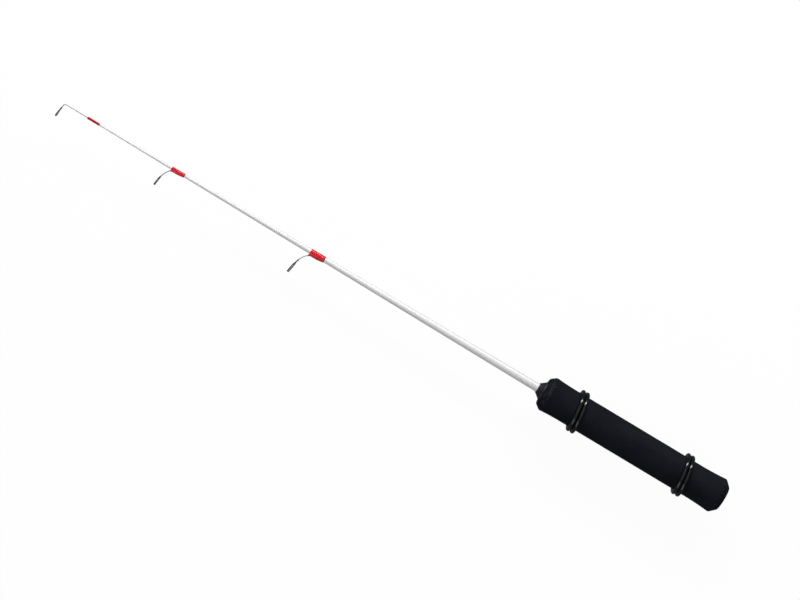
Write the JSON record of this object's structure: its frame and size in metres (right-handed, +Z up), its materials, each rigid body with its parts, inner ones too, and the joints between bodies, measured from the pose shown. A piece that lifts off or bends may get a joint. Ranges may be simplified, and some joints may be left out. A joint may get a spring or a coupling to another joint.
{
  "type": "ice fishing rod",
  "caption": "Short ice fishing rod: tapered white blank, black foam grip with rolling rubber reel bands, wire line guides under red shrink sleeves and a bent wire tip-top.",
  "frame": {"origin": "centre of the butt face", "axes": "+X along the blank from butt to tip, +Y the side that the guides and the reel are on, +Z up when the rod lies on its bands"},
  "size_m": [0.613, 0.0408, 0.0352],
  "materials": {
    "foam": "matte",
    "fibreglass": "gloss",
    "glue": "gloss",
    "black_plastic": "satin",
    "band_rubber": "satin",
    "guide_wire": "satin",
    "ring_ceramic": "gloss",
    "red_sleeve": "gloss",
    "collar_metal": "satin",
    "tube_metal": "satin"
  },
  "bodies": {
    "rod": {"grip": "foam", "blank": "fibreglass", "grip_bond": "glue", "butt_plug": "black_plastic", "winding_check": "black_plastic", "guide_1_frame": "guide_wire", "guide_2_frame": "guide_wire", "tip_frame": "guide_wire", "guide_1_ring": "ring_ceramic", "guide_2_ring": "ring_ceramic", "tip_ring": "ring_ceramic", "guide_1_sleeve": "red_sleeve", "guide_2_sleeve": "red_sleeve", "tip_sleeve": "red_sleeve", "tip_collar": "collar_metal", "tip_tube": "tube_metal"},
    "front_band_inner": {"front_band_inner": "band_rubber"},
    "front_band_outer": {"front_band_outer": "band_rubber"},
    "rear_band_inner": {"rear_band_inner": "band_rubber"},
    "rear_band_outer": {"rear_band_outer": "band_rubber"}
  },
  "joints": [
    {"name": "front_inner_slide", "type": "slide", "parent": "rod", "child": "front_band_inner", "axis": [1, 0, 0], "range_m": [-0.046, 0]},
    {"name": "front_outer_slide", "type": "slide", "parent": "front_band_inner", "child": "front_band_outer", "axis": [1, 0, 0], "range_m": [0, 0.006]},
    {"name": "rear_inner_slide", "type": "slide", "parent": "rod", "child": "rear_band_inner", "axis": [1, 0, 0], "range_m": [0, 0.044]},
    {"name": "rear_outer_slide", "type": "slide", "parent": "rear_band_inner", "child": "rear_band_outer", "axis": [1, 0, 0], "range_m": [-0.006, 0]}
  ]
}
